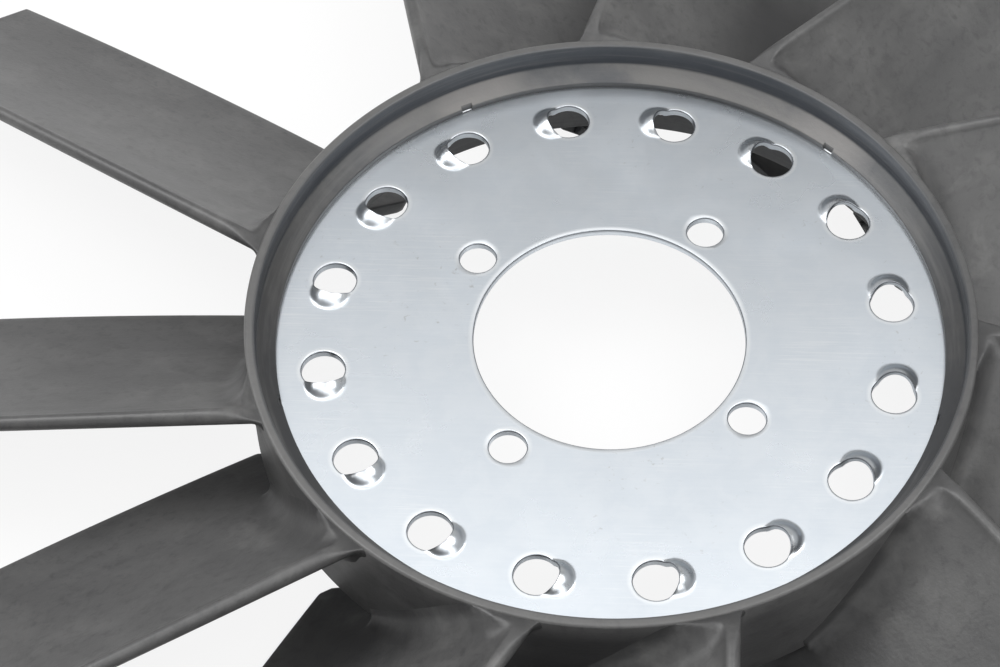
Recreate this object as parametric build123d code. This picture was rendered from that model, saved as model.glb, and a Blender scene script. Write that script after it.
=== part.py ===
from build123d import *
from math import cos, radians, sin, sqrt
import os

os.makedirs("parts", exist_ok=True)

# Frame: origin on the fan's axis in the front face of the steel disc, +Z towards the rim side.
# Azimuths are degrees counter-clockwise seen from the rim side. Lengths are millimetres.

# Steel mounting disc, a pressed insert
disc_seen_d = 196.0          # steel left in view inside the plastic edge
disc_embed = 3.5             # how far the disc's edge runs into the plastic
disc_thickness = 2.5
grip_step = 0.2              # each face of that edge is pressed in by this much
bore_d = 80.0
bolt_inset = 9.0             # bolt hole centres outside the bore's edge
bolt_circle_d = bore_d + 2 * bolt_inset
bolt_hole_d = 11.0
bolt_hole_count = 4
bolt_hole_azimuth = 54.75
vent_count = 16
vent_circle_d = 169.0
vent_hole_d = 12.8
vent_azimuth = 9.69
hood_base_d = 13.0           # raised hood beside each vent, where it leaves the sheet
hood_height = 3.6            # at its point, which the vent's punch takes off
hood_offset = 5.2            # hood centre, counter-clockwise from the vent centre

# Moulded hub ring
seat_run = 5.3               # plastic band from the steel in view out to the rim
rim_wall = 3.0               # standing rim in front of the disc
ring_outer_d = disc_seen_d + 2 * (seat_run + rim_wall)
ring_wall = 5.2              # wall behind the disc
ring_back_depth = 22.3       # back edge below the disc's front face
rim_height = 13.1
seat_step = 2.0              # upright edge of the plastic over the steel
seat_cone_rise = 3.4         # sloped band between that edge and the rim
seat_back_lip = 3.0          # plastic under the disc's edge
edge_notch_width = 3.4       # marks of the pins that held the disc in the mould
edge_notch_reach = 1.4       # outwards from the steel in view
edge_notch_azimuths = [118.0, 47.7, -17.0, -90.0, -164.0]

# Moulded blades, all alike, and unevenly spaced against noise
blade_azimuths = [149.5, 104.3, 76.0, 46.8, 19.6, -20.5, -49.7, -89.8, -119.6, -148.5, -176.7]
fan_d = 512.0
front_side_root = 34.5       # front edge beside the blade's own mid line
front_side_tip = 29.2
front_height_root = 13.0
front_height_tip = 3.4
back_side_root = 37.1
back_side_tip = 33.4
back_height_root = -37.4
back_height_tip = -33.3
back_bow = 2.7               # rise of the back edge at mid span above a straight line
blade_thickness_root = 4.2
blade_thickness_tip = 3.0
blade_camber = 0.035         # hollow of the front face, as a share of the chord
bead_d = 5.2                 # rounded bead along the front edge
root_corner_radius = 9.0
tip_corner_radius = 2.5
root_fillet_radius = 4.0
root_sink = 0.5              # the blade's foot runs this far into the ring's wall
foot_inset = 0.3             # depth inside the blade's skin at which the foot dips in...
foot_dip_run = 0.8           # ...this far past the fillet
foot_end_run = 12.8          # buried outer end of the foot, from the ring
front_flare = 0.3            # share of the flare left at the foot's front end
front_rise = 4.0             # the front edge climbs this far above the rim...
front_rise_run = 14.0        # ...over this distance from the ring

seat_r = disc_seen_d / 2
disc_r = seat_r + disc_embed
ring_r = ring_outer_d / 2
rim_inner_r = ring_r - rim_wall
back_inner_r = ring_r - ring_wall
foot_r = ring_r - root_sink
tip_r = fan_d / 2
wide_side = max(front_side_root, back_side_root) + bead_d
inner_station = sqrt(back_inner_r ** 2 - wide_side ** 2) - root_fillet_radius
outer_station = tip_r + bead_d
fillet_steps = [0, 40]               # degrees round the root fillet
loft_shares = [0, 0.3, 0.65, 1]      # cross-sections along the blade


def polar(radius, azimuth, z=0.0):
    return Vector(radius * cos(radians(azimuth)), radius * sin(radians(azimuth)), z)


def mounting_disc():
    """Sheet disc with a hooded vent repeated round it; each hood is a cone of the sheet, hollow below."""
    disc = extrude(Circle(seat_r), -disc_thickness) + gripped_edge()
    hood_slope = hood_height / (hood_base_d / 2)
    through = 4 * (hood_height + disc_thickness)
    hoods, openings = [], [Cylinder(bore_d / 2, through)]
    for i in range(vent_count):
        azimuth = vent_azimuth + i * 360 / vent_count
        centre = polar(vent_circle_d / 2, azimuth)
        foot = centre + polar(hood_offset, azimuth + 90)
        sheet_drop = disc_thickness * sqrt(1 + hood_slope ** 2)
        hoods.append(cone_on(foot, 0, hood_slope, hood_height))
        openings.append(cone_on(foot, -disc_thickness, hood_slope, hood_height - sheet_drop))
        openings.append(Pos(centre) * Cylinder(vent_hole_d / 2, through))
    for i in range(bolt_hole_count):
        centre = polar(bolt_circle_d / 2, bolt_hole_azimuth + i * 360 / bolt_hole_count)
        openings.append(Pos(centre) * Cylinder(bolt_hole_d / 2, through))
    return disc + hoods - openings


def gripped_edge():
    """The disc's edge inside the plastic, a step thinner: the flat faces end where the plastic starts."""
    return Pos(0, 0, -disc_thickness / 2) * Cylinder(disc_r, disc_thickness - 2 * grip_step)


def cone_on(foot, base_z, slope, point_z):
    """Cone with its point above the foot, standing on the level base_z."""
    height = point_z - base_z
    return Pos(foot + Vector(0, 0, base_z + height / 2)) * Cone(height / slope, 0, height)


def hub_ring():
    """Revolved ring that grips the disc's edge, with a standing rim in front of it."""
    cone_top = seat_step + seat_cone_rise
    lip_z = -disc_thickness - seat_back_lip
    flare_z = lip_z - (back_inner_r - seat_r)
    section = make_face(Plane.XZ * Polyline(
        (seat_r, lip_z), (seat_r, seat_step), (rim_inner_r, cone_top), (rim_inner_r, rim_height),
        (ring_r, rim_height), (ring_r, -ring_back_depth), (back_inner_r, -ring_back_depth),
        (back_inner_r, flare_z), (seat_r, lip_z)))
    ring = revolve(section, Axis.Z)
    notch = Pos(seat_r, 0, cone_top / 2) * Box(2 * edge_notch_reach, edge_notch_width, cone_top)
    ring -= [Rot(0, 0, azimuth) * notch for azimuth in edge_notch_azimuths]
    return ring - gripped_edge()


def between(root, tip, station):
    return root + (tip - root) * (station - ring_r) / (tip_r - ring_r)


def blade_edges(station):
    """Front and back edge across the blade's mid line, as (side, height), and the thickness."""
    share = between(0, 1, station)
    front = Vector(between(front_side_root, front_side_tip, station),
                   between(front_height_root, front_height_tip, station))
    back = Vector(-between(back_side_root, back_side_tip, station),
                  between(back_height_root, back_height_tip, station) + 4 * back_bow * share * (1 - share))
    return front, back, between(blade_thickness_root, blade_thickness_tip, station)


def at_station(station, share, offset):
    """Point of the cambered blade at a share of its chord, offset square to the chord."""
    front, back = blade_edges(station)[:2]
    chord = (front - back).length
    along = (front - back) / chord
    hollow = blade_camber * chord
    arc_r = (chord ** 2 / 4 + hollow ** 2) / (2 * hollow)
    reach = (share - 0.5) * chord
    lift = arc_r - hollow - sqrt(arc_r ** 2 - reach ** 2) + offset
    point = (front + back) / 2 + along * reach + Vector(-along.Y, along.X) * lift
    return Vector(station, point.X, point.Y)


def at_radius(radius, share, offset):
    """The same point where the blade crosses a cylinder about the fan's axis."""
    station = radius
    for _ in range(4):
        station = sqrt(radius ** 2 - at_station(station, share, offset).Y ** 2)
    return at_station(station, share, offset)


def blade_outline(at, place, flare=0):
    """Closed outline of both faces, square at both edges; the flare thickens it, less towards the front."""
    half = blade_edges(place)[2] / 2
    stops = [(0, 1), (0.5, 1), (0.98 if flare else 1, front_flare)]
    face = [at(place, share, half + flare * part) for share, part in stops]
    rear = [at(place, share, -half - flare * part) for share, part in reversed(stops)]
    return Wire([Edge.make_three_point_arc(*face), Edge.make_line(face[-1], rear[0]),
                 Edge.make_three_point_arc(*rear), Edge.make_line(rear[-1], face[0])])


def blade():
    """One blade along +X, with its foot just inside the ring's wall."""
    reach = outer_station - inner_station
    stations = [inner_station + reach * share for share in loft_shares]
    body = Solid.make_loft([blade_outline(at_station, station) for station in stations])

    # between the ring's edges the foot flares into the wall by a quarter round struck from it
    radius = root_fillet_radius
    rings = [blade_outline(at_station, inner_station, radius)]
    rings.append(blade_outline(at_radius, foot_r - root_sink, radius))
    for angle in fillet_steps:
        out, flare = radius * (1 - cos(radians(angle))), radius * (1 - sin(radians(angle)))
        rings.append(blade_outline(at_radius, ring_r + out, flare))
    rings.append(blade_outline(at_radius, ring_r + radius + foot_dip_run, -foot_inset))
    rings.append(blade_outline(at_station, ring_r + foot_end_run, -2 * foot_inset))
    foot = Solid.make_loft(rings, ruled=True)
    foot &= Pos(0, 0, (rim_height - ring_back_depth) / 2) * Box(fan_d, fan_d, rim_height + ring_back_depth)

    start, finish = [at_station(station, 1, 0) for station in (inner_station, outer_station)]
    along = finish - start
    bead = Plane(origin=start, z_dir=along) * extrude(Circle(bead_d / 2), along.length)

    # seen along the axis the blade ends on the foot and tip circles, and below the ring's back edge
    # it runs in to the ring's inner wall and has rounded back corners
    def back_side(station):
        return -between(back_side_root, back_side_tip, station) - blade_thickness_root / 2
    far = 2 * fan_d
    outline = Polygon((0, back_side(0)), (far, back_side(far)), (far, far), (0, far), align=None)
    plan = (Circle(tip_r) - Circle(back_inner_r)) & outline
    for circle_r, corner_radius in ((back_inner_r, root_corner_radius), (tip_r, tip_corner_radius)):
        side = back_side(circle_r)
        corner = Vector(sqrt(circle_r ** 2 - side ** 2), side)
        nearest = min(plan.vertices(), key=lambda vertex: (Vector(vertex.X, vertex.Y) - corner).length)
        plan = fillet(nearest, corner_radius)
    height = 4 * (rim_height + ring_back_depth + abs(back_height_root))
    below_ring = Pos(0, 0, -ring_back_depth) * extrude(plan, -height)
    beside_ring = Pos(0, 0, -ring_back_depth) * extrude(Circle(tip_r) - Circle(foot_r), height)
    trimmed = (bead + body + foot) & (below_ring + beside_ring)

    # beside the ring the front edge starts level with the rim and climbs outwards
    climb = Polyline((foot_r - rim_wall, rim_height), (ring_r, rim_height),
                     (ring_r + front_rise_run, rim_height + front_rise),
                     (ring_r + front_rise_run, height), (foot_r - rim_wall, height),
                     (foot_r - rim_wall, rim_height))
    return trimmed - revolve(make_face(Plane.XZ * climb), Axis.Z)


def blade_wheel():
    one = blade()
    return hub_ring() + [Rot(0, 0, azimuth) * one for azimuth in blade_azimuths]


for name, piece in (("steel_mounting_disc", mounting_disc()), ("moulded_blade_wheel", blade_wheel())):
    export_step(piece, f"parts/{name}.step")
    print(name, "solids", len(piece.solids()), "volume", round(piece.volume))
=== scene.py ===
import bmesh
import bpy
import numpy as np
from mathutils import Matrix, Vector


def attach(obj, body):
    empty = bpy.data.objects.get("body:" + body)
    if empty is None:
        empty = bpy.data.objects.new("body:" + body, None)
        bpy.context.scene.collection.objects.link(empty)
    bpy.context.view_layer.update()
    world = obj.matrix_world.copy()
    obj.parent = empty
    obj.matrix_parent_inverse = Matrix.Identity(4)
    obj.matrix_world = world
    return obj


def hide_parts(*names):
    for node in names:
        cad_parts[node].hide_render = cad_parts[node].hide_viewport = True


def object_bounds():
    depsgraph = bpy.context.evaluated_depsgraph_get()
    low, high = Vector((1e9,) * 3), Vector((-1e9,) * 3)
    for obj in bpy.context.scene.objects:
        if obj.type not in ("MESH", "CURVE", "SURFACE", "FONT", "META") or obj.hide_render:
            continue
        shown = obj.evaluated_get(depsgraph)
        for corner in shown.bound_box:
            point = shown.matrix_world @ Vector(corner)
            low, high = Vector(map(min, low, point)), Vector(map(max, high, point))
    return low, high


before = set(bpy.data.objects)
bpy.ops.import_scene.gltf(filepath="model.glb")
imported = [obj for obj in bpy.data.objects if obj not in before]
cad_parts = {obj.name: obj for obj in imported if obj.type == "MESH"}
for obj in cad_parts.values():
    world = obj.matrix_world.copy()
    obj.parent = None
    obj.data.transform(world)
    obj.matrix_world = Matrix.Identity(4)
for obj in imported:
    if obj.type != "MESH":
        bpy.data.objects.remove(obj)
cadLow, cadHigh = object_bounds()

print("frame loaded", len(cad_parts), "nodes")

toMetres = 0.001  # shapes are worked out in millimetres, like the solids


# shared mesh helpers

def smoothStep(start, end, value):
    # 0 before start, 1 after end, 3s^2 - 2s^3 between
    s = np.clip((value - start) / (end - start), 0, 1)
    return s * s * (3 - 2 * s)


def softLimit(value, limit, blend):
    # the smaller of the two, rounded over about one blend where they meet
    gap = np.clip(0.5 + 0.5 * (limit - value) / blend, 0, 1)
    return limit + (value - limit) * gap - blend * gap * (1 - gap)


def gridFaces(rows, columns, start=0, wrap=True):
    # quads of a rows by columns grid whose rows close on themselves when wrap is set
    row = np.arange(rows - 1)[:, None]
    column = np.arange(columns if wrap else columns - 1)[None, :]
    following = (column + 1) % columns
    corners = [row * columns + column, row * columns + following,
               (row + 1) * columns + following, (row + 1) * columns + column]
    return np.stack(np.broadcast_arrays(*corners), -1).reshape(-1, 4) + start


def turned(points, azimuth):
    # points turned about the fan's axis, degrees counter-clockwise
    a = np.radians(azimuth)
    x, y, z = points[..., 0], points[..., 1], points[..., 2]
    return np.stack([x * np.cos(a) - y * np.sin(a), x * np.sin(a) + y * np.cos(a), z], -1)


def roundedProfile(corners, radii, steps):
    # closed outline in (radius, height) with each corner replaced by an arc of its own radius
    corners = np.array(corners, float)
    points = []
    for i, radius in enumerate(radii):
        here = corners[i]
        if radius == 0:
            points.append(here[None, :])
            continue
        toLast = corners[i - 1] - here
        toNext = corners[(i + 1) % len(corners)] - here
        toLast, toNext = toLast / np.linalg.norm(toLast), toNext / np.linalg.norm(toNext)
        half = np.arccos(np.clip(toLast @ toNext, -1, 1)) / 2
        centre = here + (toLast + toNext) / np.linalg.norm(toLast + toNext) * radius / np.sin(half)
        start = here + toLast * radius / np.tan(half) - centre
        finish = here + toNext * radius / np.tan(half) - centre
        s = np.linspace(0, 1, steps)[:, None]
        arc = start * (1 - s) + finish * s
        points.append(centre + arc / np.linalg.norm(arc, axis=1)[:, None] * radius)
    return np.concatenate(points)


def subdivided(loop, longest):
    # a closed outline with points added so that no step is longer than longest
    following = np.roll(loop, -1, 0)
    counts = np.maximum(np.ceil(np.linalg.norm(following - loop, axis=1) / longest), 1).astype(int)
    share = np.concatenate([np.arange(n) / n for n in counts])[:, None]
    return np.repeat(loop, counts, 0) * (1 - share) + np.repeat(following, counts, 0) * share


def newObject(name, data):
    made = bpy.data.objects.new(name, data)
    bpy.context.scene.collection.objects.link(made)
    return made


def makePiece(name, points, faces, material, sharpAngle, flow=None):
    # closed mesh at the origin, doubles merged, smooth except over sharpAngle degrees
    mesh = bpy.data.meshes.new(name)
    mesh.from_pydata((points.reshape(-1, 3) * toMetres).tolist(), [], [list(f) for f in faces])
    if flow is not None:  # each point's own coordinates along the piece, in metres
        corner = np.zeros(len(mesh.loops), np.int32)
        mesh.loops.foreach_get("vertex_index", corner)
        layer = mesh.uv_layers.new(name="flow")
        layer.data.foreach_set("uv", (flow.reshape(-1, 2) * toMetres)[corner].ravel().astype(np.float32))
    work = bmesh.new()
    work.from_mesh(mesh)
    bmesh.ops.remove_doubles(work, verts=work.verts, dist=0.002 * toMetres)
    openEdges = sum(not e.is_manifold for e in work.edges)
    work.to_mesh(mesh)
    work.free()
    mesh.shade_smooth()
    mesh.set_sharp_from_angle(angle=np.radians(sharpAngle))
    piece = newObject(name, mesh)
    mesh.materials.append(material)
    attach(piece, "root")
    print(name, len(mesh.polygons), "faces,", openEdges, "open edges")
    return piece


# shared shader groups

def newGroup(name, inputs, outputs):
    # inputs and outputs are (name, socket type, default) and (name, socket type)
    group = bpy.data.node_groups.new(name, "ShaderNodeTree")
    for label, kind, default in inputs:
        socket = group.interface.new_socket(name=label, in_out="INPUT", socket_type=kind)
        if default is not None:
            socket.default_value = default
    for label, kind in outputs:
        group.interface.new_socket(name=label, in_out="OUTPUT", socket_type=kind)
    return group, group.nodes.new("NodeGroupInput"), group.nodes.new("NodeGroupOutput")


def addNode(tree, kind, values=None, **settings):
    node = tree.nodes.new(kind)
    for key, value in settings.items():
        setattr(node, key, value)
    for key, value in (values or {}).items():
        node.inputs[key].default_value = value
    return node


def mathNode(tree, operation, values=None):
    return addNode(tree, "ShaderNodeMath", values, operation=operation)


def vectorNode(tree, operation, values=None):
    return addNode(tree, "ShaderNodeVectorMath", values, operation=operation)


def streakGroup():
    # long faint streaks along one axis of a stretched noise, as a mask around 0.5
    group, given, result = newGroup(
        "surfaceStreaks",
        [("Vector", "NodeSocketVector", None), ("Stretch", "NodeSocketVector", (1, 1, 1)),
         ("Scale", "NodeSocketFloat", 400.0), ("Contrast", "NodeSocketFloat", 1.0)],
        [("Mask", "NodeSocketFloat")])
    stretch = vectorNode(group, "MULTIPLY")
    noise = addNode(group, "ShaderNodeTexNoise", {"Detail": 4.0, "Roughness": 0.6})
    centred = mathNode(group, "SUBTRACT", {1: 0.5})
    scaled = mathNode(group, "MULTIPLY")
    back = mathNode(group, "ADD", {1: 0.5})
    link = group.links.new
    link(given.outputs["Vector"], stretch.inputs[0])
    link(given.outputs["Stretch"], stretch.inputs[1])
    link(stretch.outputs[0], noise.inputs["Vector"])
    link(given.outputs["Scale"], noise.inputs["Scale"])
    link(noise.outputs["Fac"], centred.inputs[0])
    link(centred.outputs[0], scaled.inputs[0])
    link(given.outputs["Contrast"], scaled.inputs[1])
    link(scaled.outputs[0], back.inputs[0])
    link(back.outputs[0], result.inputs["Mask"])
    return group


def patchGroup():
    # blotches of a soft noise between two thresholds, as a 0 to 1 mask
    group, given, result = newGroup(
        "softPatches",
        [("Vector", "NodeSocketVector", None), ("Scale", "NodeSocketFloat", 20.0),
         ("Start", "NodeSocketFloat", 0.5), ("End", "NodeSocketFloat", 0.7)],
        [("Mask", "NodeSocketFloat")])
    noise = addNode(group, "ShaderNodeTexNoise", {"Detail": 5.0, "Roughness": 0.62, "Distortion": 0.4})
    ranged = addNode(group, "ShaderNodeMapRange", interpolation_type="SMOOTHSTEP")
    link = group.links.new
    link(given.outputs["Vector"], noise.inputs["Vector"])
    link(given.outputs["Scale"], noise.inputs["Scale"])
    link(noise.outputs["Fac"], ranged.inputs["Value"])
    link(given.outputs["Start"], ranged.inputs["From Min"])
    link(given.outputs["End"], ranged.inputs["From Max"])
    link(ranged.outputs["Result"], result.inputs["Mask"])
    return group


def ringGroup():
    # coordinates that run round the fan's axis without a seam, with long steps along the circle and short
    # ones across; also the distance from the axis and the height, both in metres
    group, given, result = newGroup(
        "aroundAxis", [("Vector", "NodeSocketVector", None), ("Along", "NodeSocketFloat", 0.02)],
        [("Vector", "NodeSocketVector"), ("Radius", "NodeSocketFloat"), ("Height", "NodeSocketFloat")])
    parts = addNode(group, "ShaderNodeSeparateXYZ")
    flat = vectorNode(group, "MULTIPLY", {1: (1, 1, 0)})
    radius = vectorNode(group, "LENGTH")
    direction = vectorNode(group, "NORMALIZE")
    scaled = vectorNode(group, "SCALE")
    across = mathNode(group, "SUBTRACT")
    lifted = addNode(group, "ShaderNodeCombineXYZ")
    total = vectorNode(group, "ADD")
    link = group.links.new
    link(given.outputs["Vector"], parts.inputs[0])
    link(given.outputs["Vector"], flat.inputs[0])
    link(flat.outputs["Vector"], radius.inputs[0])
    link(flat.outputs["Vector"], direction.inputs[0])
    link(direction.outputs["Vector"], scaled.inputs[0])
    link(given.outputs["Along"], scaled.inputs["Scale"])
    link(radius.outputs["Value"], across.inputs[0])
    link(parts.outputs["Z"], across.inputs[1])
    link(across.outputs[0], lifted.inputs["Z"])
    link(scaled.outputs["Vector"], total.inputs[0])
    link(lifted.outputs[0], total.inputs[1])
    link(total.outputs["Vector"], result.inputs["Vector"])
    link(radius.outputs["Value"], result.inputs["Radius"])
    link(parts.outputs["Z"], result.inputs["Height"])
    return group


streaks, patches, aroundAxis = streakGroup(), patchGroup(), ringGroup()


def useGroup(tree, group, vector, **values):
    node = addNode(tree, "ShaderNodeGroup", node_tree=group)
    tree.links.new(vector, node.inputs["Vector"])
    for key, value in values.items():
        node.inputs[key].default_value = value
    return node.outputs["Mask"]


def mixColour(tree, mask, first, second):
    # first where the mask is 0, second where it is 1; either may be a colour or an output
    mix = addNode(tree, "ShaderNodeMix", data_type="RGBA")
    tree.links.new(mask, mix.inputs[0])
    for socket, value in ((mix.inputs[6], first), (mix.inputs[7], second)):
        if isinstance(value, (tuple, list)):
            socket.default_value = (*value, 1)
        else:
            tree.links.new(value, socket)
    return mix.outputs[2]


def rangeOf(tree, mask, low, high, start=0.0, end=1.0):
    # low where the mask is at start, high where it is at end
    ranged = addNode(tree, "ShaderNodeMapRange",
                     {"From Min": start, "From Max": end, "To Min": low, "To Max": high})
    tree.links.new(mask, ranged.inputs["Value"])
    return ranged.outputs["Result"]


def rising(tree, value, ends, share=1.0):
    # 0 up to the first end, the share from the second on
    return rangeOf(tree, value, 0.0, share, *ends)


def falling(tree, value, ends, share=1.0):
    # the share up to the first end, 0 from the second on
    return rangeOf(tree, value, share, 0.0, *ends)


def tint(tree, colour, mask, share, second):
    # second mixed over the colour where the mask is, up to the share
    return mixColour(tree, rangeOf(tree, mask, 0.0, share), colour, second)


def product(tree, first, *others):
    # masks multiplied together
    for other in others:
        node = mathNode(tree, "MULTIPLY")
        tree.links.new(first, node.inputs[0])
        tree.links.new(other, node.inputs[1])
        first = node.outputs[0]
    return first


def splitOf(tree, vector):
    # the three parts of a vector, by name
    parts = addNode(tree, "ShaderNodeSeparateXYZ")
    tree.links.new(vector, parts.inputs[0])
    return parts.outputs


def bumpOf(tree, height, distance, below=None):
    bump = addNode(tree, "ShaderNodeBump", {"Strength": 1.0, "Distance": distance})
    tree.links.new(height, bump.inputs["Height"])
    if below is not None:
        tree.links.new(below, bump.inputs["Normal"])
    return bump.outputs["Normal"]


def newMaterial(name):
    material = bpy.data.materials.new(name)
    material.use_nodes = True
    tree = material.node_tree
    shader = tree.nodes["Principled BSDF"]
    place = addNode(tree, "ShaderNodeTexCoord")
    return material, tree, shader, place.outputs["Object"]


# moulded plastic of the ring and blades

plasticLook = {
    "colour": (0.067, 0.067, 0.068), "paleColour": (0.148, 0.147, 0.144),
    "darkColour": (0.041, 0.041, 0.042), "wallColour": (0.037, 0.045, 0.059),
    # the darkest colour below is painted shade: it darkens blade roots and pockets and the ring's near side,
    # outer wall and seat line
    "coneColour": (0.164, 0.158, 0.149), "paintedShadeColour": (0.02, 0.02, 0.021),
    "wornColour": (0.245, 0.232, 0.22), "steelColour": (0.8, 0.83, 0.86),
    "roughness": (0.33, 0.47), "specular": 0.62, "grainHeight": 0.00006, "flowHeight": 0.00007,
    "mottle": {"Scale": 42.0, "Start": 0.42, "End": 0.72}, "mottleShare": 0.38,
    "bruise": {"Scale": 15.0, "Start": 0.5, "End": 0.75}, "bruiseShare": 0.4,
    "speck": {"Scale": 330.0, "Start": 0.46, "End": 0.76}, "speckShare": 0.55,
    "flow": {"Scale": 44.0, "Contrast": 1.5}, "flowShare": 0.36,
    "grain": {"Scale": 900.0, "Contrast": 1.0},
}


def plasticCoat(tree, shader, place, flow, stretch, look):
    # colour, gloss and grain that ring and blades share; gives back the colour
    mottle, bruise, speck = (useGroup(tree, patches, place, **look[key])
                             for key in ("mottle", "bruise", "speck"))
    flowing = useGroup(tree, streaks, flow, Stretch=stretch, **look["flow"])
    colour = tint(tree, look["colour"], mottle, look["mottleShare"], look["paleColour"])
    colour = tint(tree, colour, bruise, look["bruiseShare"], look["darkColour"])
    colour = tint(tree, colour, flowing, look["flowShare"], look["paleColour"])
    colour = tint(tree, colour, speck, look["speckShare"], look["darkColour"])
    tree.links.new(rangeOf(tree, flowing, *look["roughness"]), shader.inputs["Roughness"])
    shader.inputs["Specular IOR Level"].default_value = look["specular"]
    grain = useGroup(tree, streaks, place, **look["grain"])
    flowed = bumpOf(tree, flowing, look["flowHeight"])
    tree.links.new(bumpOf(tree, grain, look["grainHeight"], flowed), shader.inputs["Normal"])
    return colour


bladeMarks = {  # where the blades' pale scuffs, painted shade and painted shadow lie, in metres; v is the distance from the axis
    "flowStretch": (2.6, 0.4, 1.0),
    "scuff": {"Scale": 70.0, "Start": 0.5, "End": 0.66}, "scuffShare": 0.6,
    "cornerShadePatches": {"Scale": 34.0, "Start": 0.34, "End": 0.6}, "cornerShadeShare": 0.7,
    "nearShare": 0.85, "pocketShare": 0.88,
    "scuffV": (0.107, 0.15), "cornerV": (0.1066, 0.12),
    "nearY": (-0.1, -0.075), "lowZ": (-0.02, 0.0), "nearV": (0.115, 0.165),
    "pocketStartX": (0.012, 0.05), "pocketEndX": (0.086, 0.098), "pocketY": (0.097, 0.107),
    "pocketZ": (-0.018, 0.0), "pocketV": (0.16, 0.2),
}


def bladePlastic(name, look, marks):
    # the UV runs with the blade: u up the chord from the back edge, v the distance from the axis. The roots
    # are scuffed paler in patches and carry painted shade in patches in their corners; painted shadow darkens
    # the near side's low parts and one pocket between two blades on the far side
    material, tree, shader, place = newMaterial(name)
    flow = addNode(tree, "ShaderNodeUVMap", uv_map="flow").outputs["UV"]
    colour = plasticCoat(tree, shader, place, flow, marks["flowStretch"], look)
    outward, parts = splitOf(tree, flow)["Y"], splitOf(tree, place)
    nearRoot = falling(tree, outward, marks["scuffV"])
    scuffed = product(tree, useGroup(tree, patches, place, **marks["scuff"]), nearRoot)
    colour = tint(tree, colour, scuffed, marks["scuffShare"], look["paleColour"])
    # painted shade: the concave corner at each root, next to the ring, darkened in patches
    inCorner = falling(tree, outward, marks["cornerV"])
    cornerShade = product(tree, useGroup(tree, patches, place, **marks["cornerShadePatches"]), inCorner)
    colour = tint(tree, colour, cornerShade, marks["cornerShadeShare"], look["paintedShadeColour"])
    # painted shadow: the low parts of the near-side blades' roots, where the ring's wall shades them,
    # darkened
    nearSide = falling(tree, parts["Y"], marks["nearY"])
    lowPart = falling(tree, parts["Z"], marks["lowZ"], marks["nearShare"])
    nearSideShadow = product(tree, nearSide, lowPart, falling(tree, outward, marks["nearV"]))
    colour = mixColour(tree, nearSideShadow, colour, look["paintedShadeColour"])
    # painted shadow: the low part of one far-side blade, under its neighbour's front edge, darkened
    pocket = product(tree, rising(tree, parts["X"], marks["pocketStartX"]),
                     falling(tree, parts["X"], marks["pocketEndX"]),
                     rising(tree, parts["Y"], marks["pocketY"]),
                     falling(tree, parts["Z"], marks["pocketZ"], marks["pocketShare"]),
                     falling(tree, outward, marks["pocketV"]))
    colour = mixColour(tree, pocket, colour, look["paintedShadeColour"])
    tree.links.new(colour, shader.inputs["Base Color"])
    return material


ringMarks = {  # where the ring's colours change, in metres: R from the axis, X, Y and Z in the wheel
    "flowStretch": (1.0, 1.0, 6.0),
    "wallShare": 0.75, "bandShare": 0.5, "nearSideShare": 0.6, "leftShare": 0.45, "nearWallShare": 0.8,
    "rimTopShare": 0.4, "seamShare": 0.9, "wornShare": 0.6, "rubbedShares": (0.05, 0.75),
    "rubbed": {"Scale": 90.0, "Start": 0.4, "End": 0.64},
    "streaks": {"Stretch": (1.0, 1.0, 9.0), "Scale": 110.0, "Contrast": 2.6}, "streakShare": 0.4,
    "streakEnds": (0.0, 0.55),
    "insideR": (0.1036, 0.1042), "wallZ": (0.0052, 0.0058), "bandZ": (0.0015, 0.0022),
    "farY": (0.015, 0.075), "leftX": (-0.098, -0.07), "rightX": (0.07, 0.1),
    "nearY": (-0.102, -0.088), "nearZ": (0.004, 0.0115), "outsideR": (0.1045, 0.1055),
    "rimTopZ": (0.0122, 0.0129), "seamTopZ": (0.0005, 0.0014), "seamFootZ": (-0.0003, 0.0),
    "notchStartR": (0.0981, 0.0982), "notchEndR": (0.0994, 0.0996), "notchZ": (0.0003, 0.0005),
    "rubbedAzimuths": (115.0, 48.0), "rubbedCosines": (0.986, 0.998),
}


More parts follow.
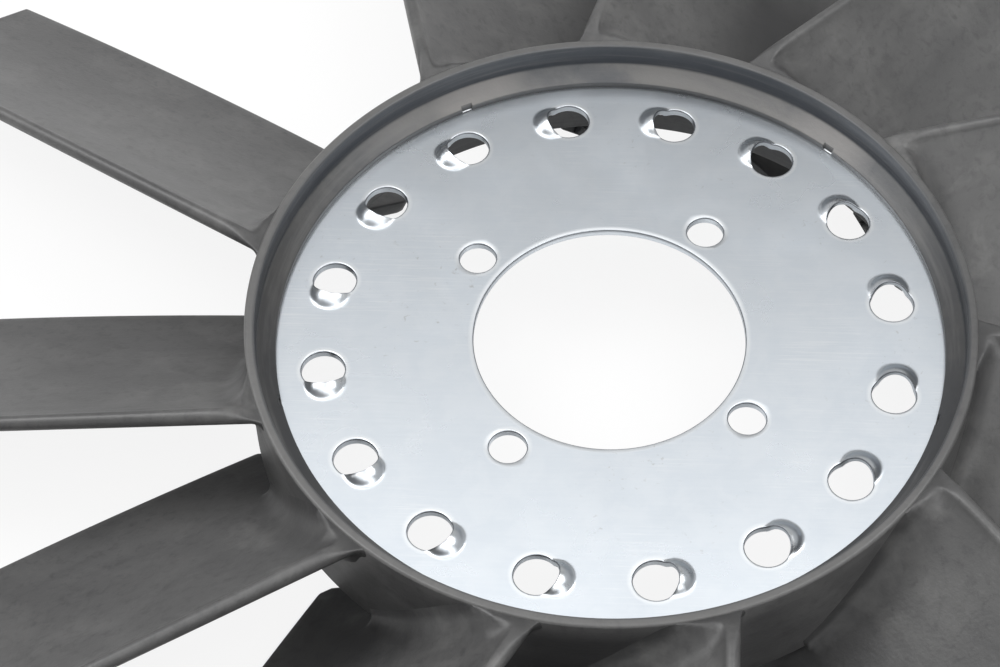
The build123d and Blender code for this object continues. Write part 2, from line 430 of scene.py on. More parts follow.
def ringPlastic(name, look, marks):
    # streaks run round the axis; the rim's inner wall is darker and bluish, the sloped band paler where it is
    # rubbed on the far side, and both carry painted shade on the near side. Painted shade also darkens the
    # band on the left, painted shadow the near outer wall and the seat's foot, and a painted highlight pales
    # the rim's top
    material, tree, shader, place = newMaterial(name)
    axis = addNode(tree, "ShaderNodeGroup", node_tree=aroundAxis)
    tree.links.new(place, axis.inputs["Vector"])
    around, radius, height = (axis.outputs[key] for key in ("Vector", "Radius", "Height"))
    parts = splitOf(tree, place)
    colour = plasticCoat(tree, shader, place, around, marks["flowStretch"], look)
    inside = falling(tree, radius, marks["insideR"])
    above = rising(tree, height, marks["wallZ"])
    wall = product(tree, inside, above)
    band = product(tree, inside, rising(tree, height, marks["bandZ"]), rangeOf(tree, above, 1.0, 0.0))
    farSide = rising(tree, parts["Y"], marks["farY"])
    colour = tint(tree, colour, wall, marks["wallShare"], look["wallColour"])
    colour = tint(tree, colour, band, marks["bandShare"], look["wallColour"])
    rubbed = useGroup(tree, patches, around, **marks["rubbed"])
    rubbed = product(tree, band, rangeOf(tree, rubbed, *marks["rubbedShares"]))
    colour = mixColour(tree, rubbed, colour, look["coneColour"])
    for azimuth in marks["rubbedAzimuths"]:  # an arc worn paler, by the cosine of the turn from its middle
        towards = (np.cos(np.radians(azimuth)), np.sin(np.radians(azimuth)), 0)
        along = vectorNode(tree, "DOT_PRODUCT", {1: towards})
        cosine = mathNode(tree, "DIVIDE")
        tree.links.new(place, along.inputs[0])
        tree.links.new(along.outputs["Value"], cosine.inputs[0])
        tree.links.new(radius, cosine.inputs[1])
        nearArc = rising(tree, cosine.outputs[0], marks["rubbedCosines"], marks["wornShare"])
        colour = mixColour(tree, product(tree, band, nearArc), colour, look["wornColour"])
    # painted shade: the inner wall and sloped band darkened on the near side
    nearSide = product(tree, inside, rangeOf(tree, farSide, marks["nearSideShare"], 0.0))
    colour = mixColour(tree, nearSide, colour, look["paintedShadeColour"])
    # painted shade: the sloped band darkened on the left
    leftBand = product(tree, band, falling(tree, parts["X"], marks["leftX"], marks["leftShare"]))
    colour = mixColour(tree, leftBand, colour, look["paintedShadeColour"])
    streaked = useGroup(tree, streaks, around, **marks["streaks"])
    streaked = product(tree, inside, falling(tree, streaked, marks["streakEnds"], marks["streakShare"]))
    colour = mixColour(tree, streaked, colour, look["paleColour"])
    # painted shadow: the outer wall below the rim darkened on the near side
    nearWall = product(tree, falling(tree, parts["Y"], marks["nearY"]),
                       falling(tree, height, marks["nearZ"]),
                       rising(tree, radius, marks["outsideR"], marks["nearWallShare"]))
    colour = mixColour(tree, nearWall, colour, look["paintedShadeColour"])
    # painted highlight: the rim's top made paler, except on the right
    rimTop = product(tree, rising(tree, height, marks["rimTopZ"], marks["rimTopShare"]),
                     falling(tree, parts["X"], marks["rightX"]))
    colour = mixColour(tree, rimTop, colour, look["paleColour"])
    # painted shadow: a thin dark line on the plastic at the foot of the seat, next to the steel, where the
    # seat's wall shades it
    seam = product(tree, inside, falling(tree, height, marks["seamTopZ"], marks["seamShare"]),
                   rising(tree, height, marks["seamFootZ"]))
    colour = mixColour(tree, seam, colour, look["paintedShadeColour"])
    bare = product(tree, rising(tree, radius, marks["notchStartR"]),
                   falling(tree, radius, marks["notchEndR"]),
                   falling(tree, height, marks["notchZ"]), farSide)
    colour = mixColour(tree, bare, colour, look["steelColour"])  # the steel shows through the pin notches
    tree.links.new(bare, shader.inputs["Metallic"])
    tree.links.new(colour, shader.inputs["Base Color"])
    return material


# zinc-plated steel of the disc

steelLook = {
    "colour": (0.665, 0.715, 0.765), "dullColour": (0.58, 0.63, 0.685), "paleColour": (0.78, 0.81, 0.84),
    "haloColour": (0.9, 0.92, 0.93), "cutColour": (0.2, 0.21, 0.23), "stainColour": (0.36, 0.36, 0.34),
    "roughness": (0.27, 0.36), "rollHeight": 0.000004,
    "cutEnd": (0.00012, 0.00034), "cutShare": 0.85,  # metres from a hole's edge, as the halo's
    "haloStart": (0.0002, 0.0006), "haloEnd": (0.0006, 0.0018), "haloShare": 0.6, "frontEnds": (0.0, 0.0005),
    "roll": {"Stretch": (0.05, 1.0, 1.0), "Scale": 900.0, "Contrast": 1.3}, "rollShare": 0.3,
    "cloud": {"Scale": 20.0, "Start": 0.36, "End": 0.74}, "cloudShare": 0.5,
    "scratch": {"Stretch": (0.03, 1.0, 1.0), "Scale": 1500.0, "Contrast": 2.6}, "scratchShare": 0.8,
    "scratchEnds": (0.5, 1.0), "scratchPlace": {"Scale": 26.0, "Start": 0.45, "End": 0.66},
    "speck": {"Scale": 620.0, "Start": 0.66, "End": 0.76}, "speckShare": 0.5,
    "stain": {"Scale": 420.0, "Start": 0.6, "End": 0.72}, "stainShare": 0.5,
    "stainPlace": {"Scale": 17.0, "Start": 0.48, "End": 0.62},
    "frost": {"Scale": 95.0, "Start": 0.4, "End": 0.62}, "frostShare": 0.22,
}


def zincSteel(name, look):
    # the UV holds the distance from the nearest hole's edge, and 1 mm on walls and back: a dark cut line
    # runs round the front of each hole, with a bright rolled halo outside it
    material, tree, shader, place = newMaterial(name)
    holeEdge = splitOf(tree, addNode(tree, "ShaderNodeUVMap", uv_map="flow").outputs["UV"])
    away, inFront = holeEdge["X"], falling(tree, holeEdge["Y"], look["frontEnds"])
    rolled, scratch = (useGroup(tree, streaks, place, **look[key]) for key in ("roll", "scratch"))
    cloud, speck, stained, frosted = (useGroup(tree, patches, place, **look[key])
                                      for key in ("cloud", "speck", "stain", "frost"))
    colour = tint(tree, look["colour"], cloud, look["cloudShare"], look["dullColour"])
    colour = tint(tree, colour, rolled, look["rollShare"], look["paleColour"])
    scratched = product(tree, rising(tree, scratch, look["scratchEnds"]),
                        useGroup(tree, patches, place, **look["scratchPlace"]))
    colour = tint(tree, colour, scratched, look["scratchShare"], look["paleColour"])
    colour = tint(tree, colour, speck, look["speckShare"], look["dullColour"])
    stained = product(tree, stained, useGroup(tree, patches, place, **look["stainPlace"]))
    colour = tint(tree, colour, stained, look["stainShare"], look["stainColour"])
    colour = tint(tree, colour, frosted, look["frostShare"], look["paleColour"])
    halo = product(tree, rising(tree, away, look["haloStart"]),
                   falling(tree, away, look["haloEnd"], look["haloShare"]))
    colour = mixColour(tree, halo, colour, look["haloColour"])
    cut = product(tree, falling(tree, away, look["cutEnd"], look["cutShare"]), inFront)
    colour = mixColour(tree, cut, colour, look["cutColour"])
    tree.links.new(colour, shader.inputs["Base Color"])
    tree.links.new(rangeOf(tree, cloud, *look["roughness"]), shader.inputs["Roughness"])
    shader.inputs["Metallic"].default_value = 1.0
    tree.links.new(bumpOf(tree, rolled, look["rollHeight"]), shader.inputs["Normal"])
    return material


plasticBlade = bladePlastic("moulded plastic blades", plasticLook, bladeMarks)
plasticRing = ringPlastic("moulded plastic ring", plasticLook, ringMarks)
zinc = zincSteel("zinc plated steel", steelLook)
print("materials made")


# hub ring: one rounded profile turned about the axis, with pin notches pressed into the cone band

ring = {
    "outerR": 106.3, "rimInnerR": 103.3, "backInnerR": 101.1, "seatR": 98.0,
    "rimHeight": 13.1, "seatStep": 2.0, "coneTop": 5.4, "lipDepth": 5.5, "flareDepth": 8.6, "backDepth": 22.3,
    "rimRound": 0.9, "innerRound": 0.6, "edgeRound": 0.6, "seatRound": 0.4, "coneRound": 0.8,
    "lipRound": 0.5, "flareRound": 1.5,
    "slotR": 101.5, "slotTop": -0.2, "slotBottom": -2.3,
    "notchAzimuths": [118.0, 47.7, -17.0, -90.0, -164.0], "notchWidth": 3.4, "notchReach": 98.8,
    "notchFloor": 0.25, "notchBlend": 0.3,
    "notchWall": (0.9, 1.1), "notchSides": [0.5, 0.88, 0.96, 1.04, 1.12],  # of the notch's half width
    "bandStep": 0.45, "turnStep": 1.0, "arcSteps": 6, "sharpAngle": 40,
}


def hubRing():
    # each point of the profile turned to every azimuth; inside a notch the band is pressed down to its floor
    r = ring
    cornersAndRounds = [
        (r["seatR"], -r["lipDepth"], r["lipRound"]), (r["backInnerR"], -r["flareDepth"], r["flareRound"]),
        (r["backInnerR"], -r["backDepth"], r["edgeRound"]), (r["outerR"], -r["backDepth"], r["edgeRound"]),
        (r["outerR"], r["rimHeight"], r["rimRound"]), (r["rimInnerR"], r["rimHeight"], r["innerRound"]),
        (r["rimInnerR"], r["coneTop"], r["coneRound"]), (r["seatR"], r["seatStep"], r["seatRound"]),
        (r["seatR"], r["slotTop"], 0), (r["slotR"], r["slotTop"], 0),
        (r["slotR"], r["slotBottom"], 0), (r["seatR"], r["slotBottom"], 0)]
    corners = [corner[:2] for corner in cornersAndRounds]
    rounds = [corner[2] for corner in cornersAndRounds]
    profile = subdivided(roundedProfile(corners, rounds, r["arcSteps"]), r["bandStep"])
    notches = np.array(r["notchAzimuths"])[:, None]
    halfNotch = np.degrees(r["notchWidth"] / 2 / r["seatR"])
    sides = np.array(r["notchSides"])
    sides = np.concatenate([-sides[::-1], [0], sides]) * halfNotch
    azimuths = np.sort(np.concatenate([np.arange(0, 360, r["turnStep"]), (notches + sides).ravel() % 360]))
    azimuths = azimuths[np.concatenate([[True], np.diff(azimuths) > 0.02])]  # near doubles left out
    aside = np.abs((azimuths[None, :] - notches + 180) % 360 - 180).min(0)
    inNotch = (1 - smoothStep(*r["notchWall"], aside / halfNotch))[None, :]
    radius, height = profile[:, 0][:, None], profile[:, 1][:, None]
    onBand = 1 - smoothStep(r["notchReach"] - r["notchBlend"], r["notchReach"], radius)
    onBand = onBand * (height > r["notchFloor"])
    height = height - inNotch * onBand * (height - r["notchFloor"])
    a = np.radians(azimuths)[None, :]
    points = np.stack([radius * np.cos(a), radius * np.sin(a), height + 0 * a], -1)
    rows, columns = points.shape[:2]
    closed = np.concatenate([points, points[:1]], 0)
    return makePiece("hubRing", closed, gridFaces(rows + 1, columns), plasticRing, r["sharpAngle"])


# blades: cross-sections of plate and bead carried outwards along cylinders about the axis

blade = {
    "azimuths": [149.5, 104.3, 76.0, 46.8, 19.6, -20.5, -49.7, -89.8, -119.6, -148.5, -176.7],
    "ringR": 106.3, "tipR": 256.0, "rootR": 105.6,
    "frontSide": (34.5, 29.2), "frontHeight": (13.0, 3.4),
    "backSide": (37.1, 33.4), "backHeight": (-37.4, -33.3), "backBow": 2.7,
    "thickness": (4.2, 3.0), "camber": 0.035, "beadR": (2.6, 2.0), "edgeRound": 0.9, "endRound": 0.7,
    "heel": 4.2, "heelRun": 14.0, "rootCorner": 9.0, "tipCorner": 1.2,
    "creaseAngle": 114.0, "creaseStart": 2.7, "creasePull": 0.9,
    "filletBack": 4.0, "filletFront": 10.0, "filletRear": 0.6,
    "filletGrow": (0.25, 0.8), "filletFade": (0.9, 1.0), "filletLost": 0.55,
    "ringBack": -22.3, "ringBackShare": (0.22, 0.38), "heelBlend": (-0.7, -0.1), "filletBlend": (-0.3, 0.5),
    "rimLevel": 12.6, "rise": 4.0, "riseRun": 14.0, "riseBlend": 1.2,
    "plateSteps": 34, "ringBackSteps": 14, "cornerSteps": 5, "creaseSteps": 7, "beadSteps": 11,
    "rowSteps": 44, "footRun": 12.5, "tipRun": 1.0, "sideGuess": 30.0, "rounds": 8,
    "sharpAngle": 40, "flowStep": 900.0,  # moves each blade's own pattern on, so that no two blades are alike
}


def along(pair, station):
    # straight line between the value at the ring and the value at the tip
    share = (station - blade["ringR"]) / (blade["tipR"] - blade["ringR"])
    return pair[0] + (pair[1] - pair[0]) * share


def halfOutline(station):
    # (u, v) of one side of the cross-section from the middle of the tail to the nose of the bead, where
    # u runs up the chord from the back edge and v is square to it: corner arc, plate, crease, bead arc
    b = blade
    sideways = along(b["frontSide"], station) + along(b["backSide"], station)
    chord = np.hypot(sideways, along(b["frontHeight"], station) - backHeightAt(station))
    half = along(b["thickness"], station) / 2
    corner = np.minimum(b["edgeRound"], 0.98 * half)
    turn = np.linspace(np.pi, np.pi / 2, b["cornerSteps"])
    u = [0 * chord, corner + corner * np.cos(turn)]
    v = [0 * chord, half - corner + corner * np.sin(turn)]
    plate = np.sort(np.concatenate([np.linspace(0, 1, b["plateSteps"] + 1)[1:],
                                    np.linspace(*b["ringBackShare"], b["ringBackSteps"])]))
    beadR = along(b["beadR"], station)
    creaseU = chord - b["creaseStart"] * beadR
    u.append(corner + (creaseU - corner) * plate)
    v.append(half + 0 * plate)
    s = np.linspace(0, 1, b["creaseSteps"])[1:-1]  # crease: cubic curve from the plate to the bead's circle
    beadTurn = np.radians(b["creaseAngle"])
    endU, endV = chord + beadR * np.cos(beadTurn), beadR * np.sin(beadTurn)
    reach = b["creasePull"] * beadR
    h0, h1 = 2 * s ** 3 - 3 * s ** 2 + 1, s ** 3 - 2 * s ** 2 + s
    h2, h3 = -2 * s ** 3 + 3 * s ** 2, s ** 3 - s ** 2
    u.append(h0 * creaseU + h1 * reach + h2 * endU + h3 * reach * np.sin(beadTurn))
    v.append(h0 * half + h2 * endV - h3 * reach * np.cos(beadTurn))
    bead = np.linspace(beadTurn, 0, b["beadSteps"])
    u.append(chord + beadR * np.cos(bead))
    v.append(beadR * np.sin(bead))
    return np.concatenate(u, 1), np.concatenate(v, 1), chord, half


def backHeightAt(station):
    s = along((0, 1), station)
    return along(blade["backHeight"], station) + 4 * blade["backBow"] * s * (1 - s)


def onBlade(station, u, v):
    # place of (u, v) in the cross-section at a station: the chord line, bowed into an arc that is hollow
    # towards the front, plus v square to the chord
    b = blade
    frontSide, frontHeight = along(b["frontSide"], station), along(b["frontHeight"], station)
    backSide, backHeight = -along(b["backSide"], station), backHeightAt(station)
    chord = np.hypot(frontSide - backSide, frontHeight - backHeight)
    alongY, alongZ = (frontSide - backSide) / chord, (frontHeight - backHeight) / chord
    hollow = b["camber"] * chord
    arcR = (chord ** 2 / 4 + hollow ** 2) / (2 * hollow)
    reach = u - chord / 2
    lift = arcR - hollow - np.sqrt(arcR ** 2 - reach ** 2) + v
    y = (frontSide + backSide) / 2 + alongY * reach - alongZ * lift
    z = (frontHeight + backHeight) / 2 + alongZ * reach + alongY * lift
    return y, z


def bladePoints():
    # rows of constant radius from the root to the tip; each point's station follows from its radius and y,
    # in a few rounds, because y depends on the station
    b = blade
    span = b["tipR"] - b["rootR"]
    footRows = np.array([0.0, 0.25, 0.6, 1.1, 1.7, 2.4, 3.2, 4.1, 5.1, 6.3, 7.8, 9.8, b["footRun"]])
    plainRows = b["footRun"] + (span - b["footRun"] - b["tipRun"]) * np.linspace(0, 1, b["rowSteps"])[1:]
    tipRows = span - np.array([0.6, 0.3, 0.1, 0.0])
    outward = np.concatenate([footRows, plainRows, tipRows])
    edge = b["endRound"]
    shrink = np.maximum(np.maximum(edge - outward, edge - (span - outward)), 0)
    shrink = edge - np.sqrt(edge ** 2 - shrink ** 2)  # both ends are rounded over by a small quarter round
    outward, shrink = outward[:, None], shrink[:, None]
    uHalf, vHalf, chord, half = halfOutline(b["rootR"] + outward)
    u = np.concatenate([uHalf, uHalf[:, -2:0:-1]], 1)
    v = np.concatenate([vHalf, -vHalf[:, -2:0:-1]], 1)
    share = outward / span  # the root's corner cut fades outwards and the tip's grows only near the tip
    plainRadius = b["rootR"] + outward + cornerCut(u, b["rootCorner"]) * (1 - share) ** 3
    plainRadius = plainRadius - cornerCut(u, b["tipCorner"]) * share ** 12
    radius = plainRadius
    station = np.sqrt(radius ** 2 - b["sideGuess"] ** 2)
    # the foot's fillet grows up the chord, loses a share at the bead and is smaller on the rear side
    filletR = b["filletBack"] + (b["filletFront"] - b["filletBack"]) * smoothStep(*b["filletGrow"], u / chord)
    filletR = filletR * (1 - b["filletLost"] * smoothStep(*b["filletFade"], u / chord))
    filletR = filletR * np.where(v > 0, 1, b["filletRear"])
    heelStart, heelEnd = b["ringBack"] + np.array(b["heelBlend"])
    filletStart, filletEnd = b["ringBack"] + np.array(b["filletBlend"])
    for _ in range(b["rounds"]):
        z = onBlade(station, u, v)[1]
        below = 1 - smoothStep(heelStart, heelEnd, z)  # below the ring's back edge
        radius = plainRadius - b["heel"] * below * (1 - smoothStep(0, b["heelRun"], outward))
        away = radius - b["ringR"]
        backed = smoothStep(filletStart, filletEnd, z)
        inside = np.clip(filletR - away, 0, filletR)
        flare = (filletR - np.sqrt(filletR ** 2 - inside ** 2)) * backed
        y, z = onBlade(station, u, v * (1 - shrink / half) + np.clip(v / half, -1, 1) * flare)
        station = np.sqrt(radius ** 2 - y ** 2)
    climb = b["rimLevel"] + b["rise"] / b["riseRun"] * np.clip(away, 0, None)
    z = np.where(away < b["riseRun"], softLimit(z, climb, b["riseBlend"]), z)
    z = np.where(away < 0, np.minimum(z, b["rimLevel"]), z)
    points = np.stack([station, y, z], -1)
    return points, np.stack([u, radius + 0 * u], -1)


def cornerCut(u, cornerR):
    # how far the end of the blade is cut back by a round corner at its back edge
    near = np.clip(cornerR - u, 0, cornerR)
    return cornerR - np.sqrt(cornerR ** 2 - near ** 2)


def blades():
    # one blade's grid, closed by caps of quads across both ends and turned to each azimuth
    points, flow = bladePoints()
    rows, columns = points.shape[:2]
    nose = columns // 2  # index of the bead's nose; index i and columns - i face each other
    rootCap = [[0, 1, columns - 1], *[[i, i + 1, columns - i - 1, columns - i] for i in range(1, nose - 1)],
               [nose - 1, nose, nose + 1]]
    body = gridFaces(rows, columns)[:, ::-1]
    tipStart = (rows - 1) * columns
    tipCap = [[tipStart + k for k in reversed(face)] for face in rootCap]
    oneFaces = [list(f) for f in body] + rootCap + tipCap
    allPoints, allFaces, allFlow = [], [], []
    for i, azimuth in enumerate(blade["azimuths"]):
        allPoints.append(turned(points, azimuth).reshape(-1, 3))
        allFaces += [[k + i * rows * columns for k in face] for face in oneFaces]
        allFlow.append(flow.reshape(-1, 2) + i * np.array([blade["flowStep"], 0]))
    points, flow = np.concatenate(allPoints), np.concatenate(allFlow)
    return makePiece("blades", points, allFaces, plasticBlade, blade["sharpAngle"], flow)


# mounting disc: a cell of sheet round each hole, from the cell's edge in to the hole, down its wall and out

disc = {
    "r": 101.5, "seenR": 98.0, "gripStep": 0.2, "thickness": 2.5,
    "boreR": 40.0, "boreBand": 41.5, "bandR": 70.5,
    "ventCount": 16, "ventCircleR": 84.5, "ventR": 6.4, "ventAzimuth": 9.69,
    "boltCount": 4, "boltCircleR": 49.0, "boltR": 5.5, "boltAzimuth": 54.75, "boltCellHalf": 30.0,
    "hoodR": 5.7, "hoodHeight": 2.7, "hoodOffset": 5.0, "hoodThinned": 1.7, "hoodBlend": 0.7,
    "belowSheet": -9.0,  # a height out of the way, where the hood's sphere doesn't reach
    "edgeRound": 0.35, "boreRound": 0.3, "roundSteps": 5, "wallSteps": 5, "boreSteps": 6,
    "arcStep": 0.9, "lineSteps": 24, "sharpAngle": 50,
}


def sharedAzimuths():
    # azimuths that every circle of the disc uses, with both patterns' cell edges among them
    d = disc
    vents = d["ventAzimuth"] + (np.arange(d["ventCount"]) + 0.5) * 360 / d["ventCount"]
    bolts = d["boltAzimuth"] + np.arange(d["boltCount"]) * 360 / d["boltCount"]
    stops = np.sort(np.concatenate([vents, bolts - d["boltCellHalf"], bolts + d["boltCellHalf"]]) % 360)
    ends = np.append(stops[1:], stops[0] + 360)
    return np.concatenate([np.linspace(a, b, max(int(np.ceil((b - a) / d["arcStep"])), 1), endpoint=False)
                           for a, b in zip(stops, ends)]) % 360


def sheetHeight(x, y, top, hooded):
    # height of the sheet's face at a place relative to the hole's centre: x outwards, y counter-clockwise.
    # The hood is a cap of a sphere that the flat sheet blends into; below it is a smaller cap.
    d = disc
    level = 0.0 if top else -d["thickness"]
    if not hooded:
        return level + 0 * x
    capR = (d["hoodR"] ** 2 + d["hoodHeight"] ** 2) / (2 * d["hoodHeight"])
    sphereR = capR if top else capR - d["hoodThinned"]
    away = np.hypot(x, y - d["hoodOffset"])
    cap = np.sqrt(np.clip(sphereR ** 2 - away ** 2, 0, None)) + d["hoodHeight"] - capR
    cap = np.where(away < sphereR, cap, d["belowSheet"])
    return -softLimit(-cap, -level, d["hoodBlend"])


def azimuthsWithin(azimuth, halfTurn):
    # the shared azimuths within halfTurn of one azimuth, relative to it, both ends included
    every = (sharedAzimuths() - azimuth + 180) % 360 - 180
    return np.concatenate([[-halfTurn], np.sort(every[np.abs(every) < halfTurn - 1e-6]), [halfTurn]])


def holeCell(centreR, azimuth, halfTurn, innerR, outerR, holeR, hooded, inwardRows):
    # rows from the top face's cell edge to the hole, down the wall and back out below; columns run round it.
    # Gives back the grid, its quads and which of its rows are on walls or behind, as plainSector does.
    d = disc
    arc = azimuthsWithin(azimuth, halfTurn)
    line = np.linspace(0, 1, d["lineSteps"] + 1)[1:-1]
    edgeR = np.concatenate([innerR + 0 * arc, innerR + (outerR - innerR) * line,
                            outerR + 0 * arc, outerR + (innerR - outerR) * line])
    edgeA = np.radians(np.concatenate([arc, halfTurn + 0 * line, arc[::-1], -halfTurn + 0 * line]))
    edge = np.stack([edgeR * np.cos(edgeA) - centreR, edgeR * np.sin(edgeA)], -1)
    reach = np.linalg.norm(edge, axis=1)
    direction = edge / reach[:, None]
    flat = holeR + d["edgeRound"] + (reach[None, :] - holeR - d["edgeRound"]) * inwardRows[:, None]
    turn = np.linspace(np.pi / 2, 0, d["roundSteps"])[1:]
    drop = d["edgeRound"] * (1 - np.sin(turn))[:, None]
    x, y = flat * direction[:, 0], flat * direction[:, 1]
    top = sheetHeight(x, y, True, hooded)
    backX, backY = x[::-2], y[::-2]  # the back has every other row
    bottom = sheetHeight(backX, backY, False, hooded)
    lipR = holeR + d["edgeRound"] * (1 - np.cos(turn))[:, None] + 0 * reach[None, :]
    lipX, lipY = lipR * direction[:, 0], lipR * direction[:, 1]
    holeX, holeY = holeR * direction[:, 0], holeR * direction[:, 1]
    lipTop = sheetHeight(holeX, holeY, True, hooded)[None, :] - drop
    lipBottom = sheetHeight(holeX, holeY, False, hooded)[None, :] + drop
    wall = np.linspace(0, 1, d["wallSteps"])[1:-1][:, None]
    wallZ = lipTop[-1:] * (1 - wall) + lipBottom[-1:] * wall
    wallX, wallY = holeX + 0 * wall, holeY + 0 * wall
    xs = np.concatenate([x, lipX, wallX, lipX[::-1], backX])
    ys = np.concatenate([y, lipY, wallY, lipY[::-1], backY])
    zs = np.concatenate([top, lipTop, wallZ, lipBottom[::-1], bottom])
    behind = np.arange(len(xs)) >= len(x) + len(lipX)
    points = turned(np.stack([xs + centreR, ys, zs], -1), azimuth)
    return points, gridFaces(*points.shape[:2]), behind


def plainSector(azimuth, halfTurn, height, upward):
    # flat face between two bolt cells, from the bore's band to the vents' cells
    d = disc
    a = np.radians(azimuthsWithin(azimuth, halfTurn))[None, :]
    radius = d["bandR"] + (d["boreBand"] - d["bandR"]) * np.linspace(0, 1, d["lineSteps"] + 1)[:, None]
    points = turned(np.stack([radius * np.cos(a), radius * np.sin(a), height + 0 * radius * a], -1), azimuth)
    quads = gridFaces(*points.shape[:2], wrap=False)[:, ::1 if upward else -1]
    return points, quads, np.full(len(points), not upward)


def fromEdges(points):
    # distance of each point from the nearest hole's edge, seen along the axis
    d = disc
    radius = np.hypot(points[:, 0], points[:, 1])
    azimuth = np.degrees(np.arctan2(points[:, 1], points[:, 0]))
    away = radius - d["boreR"]
    for count, circleR, holeR, start in ((d["ventCount"], d["ventCircleR"], d["ventR"], d["ventAzimuth"]),
                                         (d["boltCount"], d["boltCircleR"], d["boltR"], d["boltAzimuth"])):
        pitch = 360 / count
        turn = np.radians((azimuth - start + pitch / 2) % pitch - pitch / 2)
        away = np.minimum(away, np.hypot(radius * np.cos(turn) - circleR, radius * np.sin(turn)) - holeR)
    return away


def wallBand(radii, heights):
    # closed strip round the axis through the given radii and heights
    a = np.radians(np.sort(sharedAzimuths()))[None, :]
    radii, heights = np.array(radii)[:, None], np.array(heights)[:, None]
    points = np.stack([radii * np.cos(a), radii * np.sin(a), heights + 0 * a], -1)
    return points, gridFaces(*points.shape[:2])


def mountingDisc():
    # cells of the vents and bolt holes, plain sectors between the bolts, the bore's wall and the held edge;
    # rows are shares of the way from a hole's edge out to its cell's edge
    d = disc
    pieces = []
    ventRows = np.concatenate([np.linspace(1, 0.55, 4), np.linspace(0.5, 0, 15)])
    boltRows = np.array([1, 0.75, 0.5, 0.3, 0.15, 0.06, 0])
    ventHalf = 180 / d["ventCount"]
    for i in range(d["ventCount"]):
        azimuth = d["ventAzimuth"] + i * 360 / d["ventCount"]
        pieces.append(holeCell(d["ventCircleR"], azimuth, ventHalf,
                               d["bandR"], d["seenR"], d["ventR"], True, ventRows))
    plainHalf = 180 / d["boltCount"] - d["boltCellHalf"]
    for i in range(d["boltCount"]):
        azimuth = d["boltAzimuth"] + i * 360 / d["boltCount"]
        pieces.append(holeCell(d["boltCircleR"], azimuth, d["boltCellHalf"],
                               d["boreBand"], d["bandR"], d["boltR"], False, boltRows))
        for height, upward in ((0.0, True), (-d["thickness"], False)):
            pieces.append(plainSector(azimuth + 180 / d["boltCount"], plainHalf, height, upward))
    turn = np.linspace(np.pi / 2, 0, d["boreSteps"])
    roundR = d["boreR"] + d["boreRound"] * (1 - np.cos(turn))
    roundDrop = d["boreRound"] * (1 - np.sin(turn))
    boreR = np.concatenate([[d["boreBand"]], roundR, roundR[::-1], [d["boreBand"]]])
    boreZ = np.concatenate([[0], -roundDrop, -d["thickness"] + roundDrop[::-1], [-d["thickness"]]])
    pieces.append((*wallBand(boreR, boreZ), boreZ < -2 * d["boreRound"]))
    stepTop, stepBottom = -d["gripStep"], d["gripStep"] - d["thickness"]
    edge = wallBand([d["seenR"], d["seenR"], d["r"], d["r"], d["seenR"], d["seenR"]],
                    [-d["thickness"], stepBottom, stepBottom, stepTop, stepTop, 0.0])
    pieces.append((*edge, np.zeros(len(edge[0]), bool)))
    points, faces, flow, start = [], [], [], 0
    for grid, quads, behind in pieces:
        points.append(grid.reshape(-1, 3))
        faces.append(quads + start)
        flow.append(np.stack([fromEdges(points[-1]), np.repeat(behind, grid.shape[1])], -1))
        start += grid.shape[0] * grid.shape[1]
    points, faces, flow = np.concatenate(points), np.concatenate(faces), np.concatenate(flow)
    return makePiece("mountingDisc", points, faces, zinc, d["sharpAngle"], flow)


for piece, node, slot in ((hubRing(), "moulded_blade_wheel", "plastic"),
                          (blades(), "moulded_blade_wheel", "plastic"),
                          (mountingDisc(), "steel_mounting_disc", "steel")):
    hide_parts(node)
print("pieces made")


# studio: white floor and backdrop, soft lights, camera as in the photograph

studio = {
    "floorSize": 12.0, "floorColour": (0.9, 0.9, 0.9, 1), "whiteShare": 0.88, "mirroredShare": 0.35,
    "skyStrength": 1.65,  # the sky's pairs are height, as the share from the horizon up, and glow
    "sky": [(0.0, 0.6), (0.12, 0.16), (0.3, 0.3), (0.5, 0.3), (0.62, 0.12), (0.73, 0.0), (0.86, 0.96),
            (0.92, 0.92), (1.0, 0.45)],
    "cameraPlace": (0.0, -0.4697, 0.6320), "yaw": 2.34, "pitch": 0.01, "roll": -1.23,
    "lens": 96.38, "sensor": 36, "clip": (0.01, 50),
    "lamps": {  # place in metres and watts
        "leftLight": ((-1.3, 0.1, 0.8), 3.3),
        "leftHighLight": ((-0.8, 0.2, 1.4), 8.4),
        "rightHighLight": ((0.8, 0.2, 1.4), 5.9),
        "nearHighLight": ((0.3, -0.7, 1.3), 1.8),
        "nearRightLight": ((0.9, -0.9, 0.9), 3.2),
    },
    "lampSize": 0.8,
}


def cameraFrame():
    # looks at the origin, then turns by yaw about up, pitch about right and roll about the view
    place = Vector(studio["cameraPlace"])
    ahead = -place.normalized()
    right = Vector((1, 0, 0))
    up = right.cross(ahead)
    yaw, pitch, roll = (np.radians(studio[k]) for k in ("yaw", "pitch", "roll"))
    ahead = Matrix.Rotation(yaw, 3, up) @ ahead
    right = Matrix.Rotation(yaw, 3, up) @ right
    ahead = Matrix.Rotation(pitch, 3, right) @ ahead
    up = Matrix.Rotation(pitch, 3, right) @ up
    right, up = Matrix.Rotation(roll, 3, ahead) @ right, Matrix.Rotation(roll, 3, ahead) @ up
    axes = Matrix((right, up, -ahead)).transposed()
    return Matrix.Translation(place) @ axes.to_4x4()


camera = newObject("camera", bpy.data.cameras.new("camera"))
camera.data.sensor_width, camera.data.lens = studio["sensor"], studio["lens"]
camera.data.clip_start, camera.data.clip_end = studio["clip"]
camera.matrix_world = cameraFrame()
bpy.context.scene.camera = camera


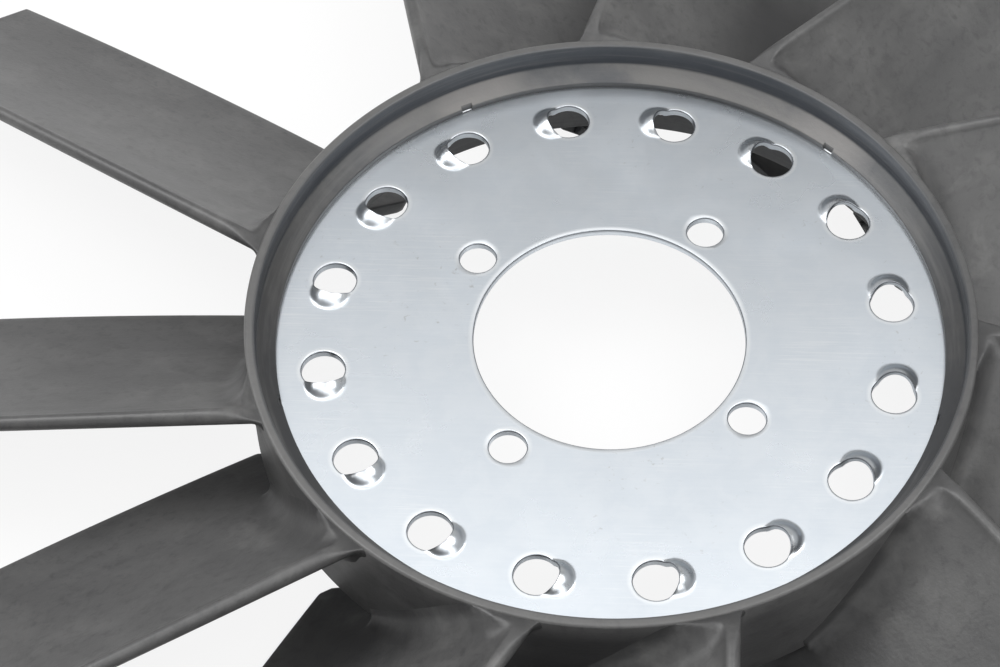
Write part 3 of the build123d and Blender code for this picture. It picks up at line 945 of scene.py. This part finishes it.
def floorMaterial():
    # diffuse white that keeps the shadow, with white of its own where the camera or a reflection sees it
    material = bpy.data.materials.new("studio floor")
    material.use_nodes = True
    tree = material.node_tree
    tree.nodes.clear()
    out = addNode(tree, "ShaderNodeOutputMaterial")
    plain = addNode(tree, "ShaderNodeBsdfDiffuse", {"Color": studio["floorColour"]})
    white = addNode(tree, "ShaderNodeEmission", {"Color": (1, 1, 1, 1), "Strength": 1.0})
    path = addNode(tree, "ShaderNodeLightPath")
    seen = mathNode(tree, "MAXIMUM")
    seenToo = mathNode(tree, "MAXIMUM")
    mirrored = mathNode(tree, "MULTIPLY", {1: studio["mirroredShare"]})
    share = mathNode(tree, "MULTIPLY", {1: studio["whiteShare"]})
    mix = addNode(tree, "ShaderNodeMixShader")
    link = tree.links.new
    link(path.outputs["Is Camera Ray"], seen.inputs[0])
    link(path.outputs["Is Glossy Ray"], mirrored.inputs[0])
    link(mirrored.outputs[0], seen.inputs[1])
    link(seen.outputs[0], seenToo.inputs[0])
    link(path.outputs["Is Transmission Ray"], seenToo.inputs[1])
    link(seenToo.outputs[0], share.inputs[0])
    link(share.outputs[0], mix.inputs[0])
    link(plain.outputs[0], mix.inputs[1])
    link(white.outputs[0], mix.inputs[2])
    link(mix.outputs[0], out.inputs["Surface"])
    return material


def studioFloor():
    size, level = studio["floorSize"] / 2, cadLow.z
    mesh = bpy.data.meshes.new("studioFloor")
    corners = [(-size, -size, level), (size, -size, level), (size, size, level), (-size, size, level)]
    mesh.from_pydata(corners, [], [(0, 1, 2, 3)])
    floor = newObject("studioFloor", mesh)
    mesh.materials.append(floorMaterial())


def studioWorld():
    # the camera sees white; every other ray sees a pale horizon, a middle that fades to a dark ring, and a
    # bright part high up that is softer again at the zenith
    world = bpy.data.worlds.new("studio")
    bpy.context.scene.world = world
    world.use_nodes = True
    tree = world.node_tree
    background = tree.nodes["Background"]
    parts = splitOf(tree, addNode(tree, "ShaderNodeTexCoord").outputs["Generated"])
    sky = addNode(tree, "ShaderNodeValToRGB")
    stops = sky.color_ramp.elements
    for _ in range(len(studio["sky"]) - 2):
        stops.new(0.5)
    for stop, (height, glow) in zip(stops, studio["sky"]):
        stop.position, stop.color = height, (glow, glow, glow, 1)
    brightness = mathNode(tree, "MULTIPLY", {1: studio["skyStrength"]})
    tree.links.new(parts["Z"], sky.inputs[0])
    tree.links.new(sky.outputs["Color"], brightness.inputs[0])
    path = addNode(tree, "ShaderNodeLightPath")
    seen = addNode(tree, "ShaderNodeMix", data_type="FLOAT")
    seen.inputs[3].default_value = 1.0
    tree.links.new(path.outputs["Is Camera Ray"], seen.inputs[0])
    tree.links.new(brightness.outputs[0], seen.inputs[2])
    tree.links.new(seen.outputs[0], background.inputs["Strength"])
    background.inputs["Color"].default_value = (1, 1, 1, 1)


def softLight(name, place, power):
    # square area light that points at the origin
    light = bpy.data.lights.new(name, "AREA")
    light.shape, light.energy = "RECTANGLE", power
    light.size = light.size_y = studio["lampSize"]
    lamp = newObject(name, light)
    lamp.location = place
    lamp.rotation_euler = (-Vector(place)).to_track_quat("-Z", "Y").to_euler()


studioFloor()
studioWorld()
for name, (place, power) in studio["lamps"].items():
    softLight(name, place, power)
bpy.context.scene.view_settings.view_transform = "Standard"
print("studio made")
